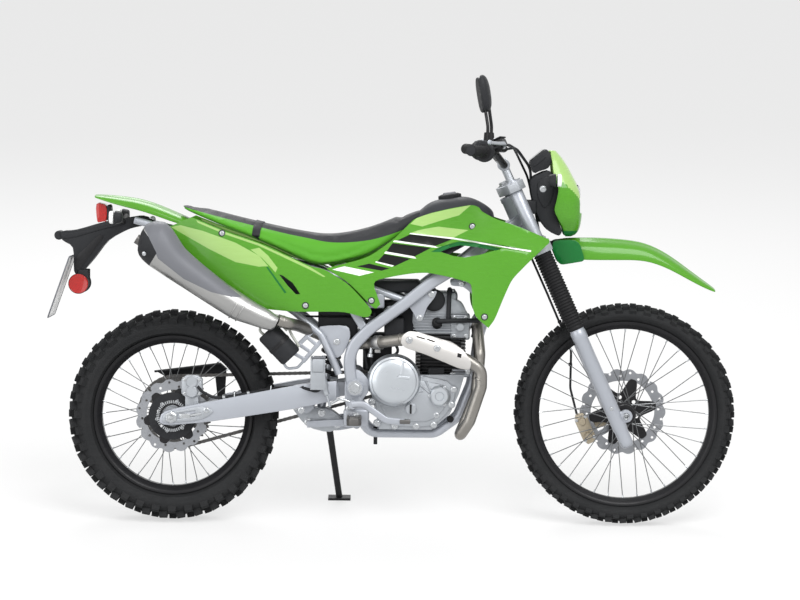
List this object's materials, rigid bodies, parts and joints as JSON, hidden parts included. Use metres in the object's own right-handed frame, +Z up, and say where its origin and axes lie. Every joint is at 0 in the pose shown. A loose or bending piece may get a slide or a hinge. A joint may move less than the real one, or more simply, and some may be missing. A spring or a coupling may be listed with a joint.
{
  "type": "dual sport motorcycle",
  "caption": "Light dual sport motorcycle leaning on its side stand, with spoked wheels, knobby tyres, a high front fender, slim bodywork and an upswept exhaust.",
  "frame": {"origin": "on the road, under the middle of the whole machine's bounding box as it leans on its side stand", "axes": "+X forwards, +Y to the rider's left, +Z up; the machine leans nine degrees to its left about a line along X"},
  "size_m": [2.09, 0.8172, 1.3997],
  "materials": {
    "tyre_rubber": "matt, knobby",
    "black_rim": "gloss black",
    "spoke_steel": "bright",
    "disc_steel": "ground",
    "sprocket_steel": "plain",
    "chain_steel": "oiled",
    "axle_steel": "zinc plated",
    "silver_frame": "silver paint",
    "cast_alloy": "sand cast, satin",
    "black_alloy": "satin black",
    "fork_alloy": "satin",
    "fork_tube_steel": "hard chrome",
    "boot_rubber": "matt",
    "grip_rubber": "ribbed",
    "black_metal": "satin black",
    "black_plastic": "fine grain",
    "green_plastic": "gloss lime green with stripes",
    "tank_grey": "satin dark grey",
    "seat_cover": "two coloured cover",
    "header_steel": "heat tinted",
    "shield_alloy": "satin",
    "muffler_alloy": "brushed",
    "lamp_glass": "clear",
    "signal_lens": "clear lens on a black body",
    "red_lens": "red lens",
    "plate_alloy": "plain white",
    "bronze_alloy": "anodised"
  },
  "bodies": {
    "chassis": {"frame": "silver_frame", "subframe": "silver_frame", "swing_arm": "fork_alloy", "rear_axle": "axle_steel", "pivot_bolt": "axle_steel", "engine_cases": "cast_alloy", "engine_covers": "cast_alloy", "cylinder": "black_alloy", "cylinder_head": "cast_alloy", "intake": "black_plastic", "exhaust_pipe": "header_steel", "muffler": "muffler_alloy", "heat_shield": "shield_alloy", "fuel_tank": "tank_grey", "fuel_cap": "tank_grey", "seat": "seat_cover", "side_covers": "green_plastic", "shrouds": "green_plastic", "rear_fender": "green_plastic", "plate_bracket": "black_plastic", "tail_lamp": "red_lens", "number_plate": "plate_alloy", "rear_indicators": "signal_lens", "rear_shock": "black_metal", "canister": "black_plastic", "radiators": "black_alloy", "chain": "chain_steel", "chain_guard": "black_plastic", "footpegs": "axle_steel", "foot_levers": "axle_steel", "rear_brake": "bronze_alloy"},
    "steering": {"fork_bridges": "fork_alloy", "fork_tubes": "fork_tube_steel", "fork_boots": "boot_rubber", "fork_legs": "fork_alloy", "front_axle": "axle_steel", "handlebar": "black_metal", "grips": "grip_rubber", "bar_controls": "black_metal", "mirrors": "black_plastic", "meter": "black_plastic", "lamp_stays": "black_metal", "headlamp_cowl": "green_plastic", "headlamp": "lamp_glass", "front_indicators": "signal_lens", "front_fender": "green_plastic", "front_caliper": "bronze_alloy", "brake_hose": "boot_rubber"},
    "front_wheel": {"front_tyre": "tyre_rubber", "front_rim": "black_rim", "front_hub": "spoke_steel", "front_disc": "disc_steel"},
    "rear_wheel": {"rear_tyre": "tyre_rubber", "rear_rim": "black_rim", "rear_hub": "spoke_steel", "rear_disc": "disc_steel", "rear_sprocket": "sprocket_steel"},
    "side_stand": {"side_stand": "black_metal"}
  },
  "joints": [
    {"name": "steering", "type": "hinge", "parent": "chassis", "child": "steering", "pos_m": [0.66111, -0.1326, 0.31504], "axis": [-0.4147, 0.1423, 0.8988], "range_deg": [-42, 42]},
    {"name": "front_wheel_spin", "type": "hinge", "parent": "steering", "child": "front_wheel", "pos_m": [0.70797, -0.12926, 0.33614], "axis": [0, 0.9877, -0.1564], "continuous": true},
    {"name": "rear_wheel_spin", "type": "hinge", "parent": "chassis", "child": "rear_wheel", "pos_m": [-0.66697, -0.13192, 0.31934], "axis": [0, 0.9877, -0.1564], "continuous": true},
    {"name": "side_stand_fold", "type": "hinge", "parent": "chassis", "child": "side_stand", "pos_m": [-0.19697, -0.01446, 0.26834], "axis": [0, 0.9613, 0.2756], "range_deg": [0, 90]}
  ]
}
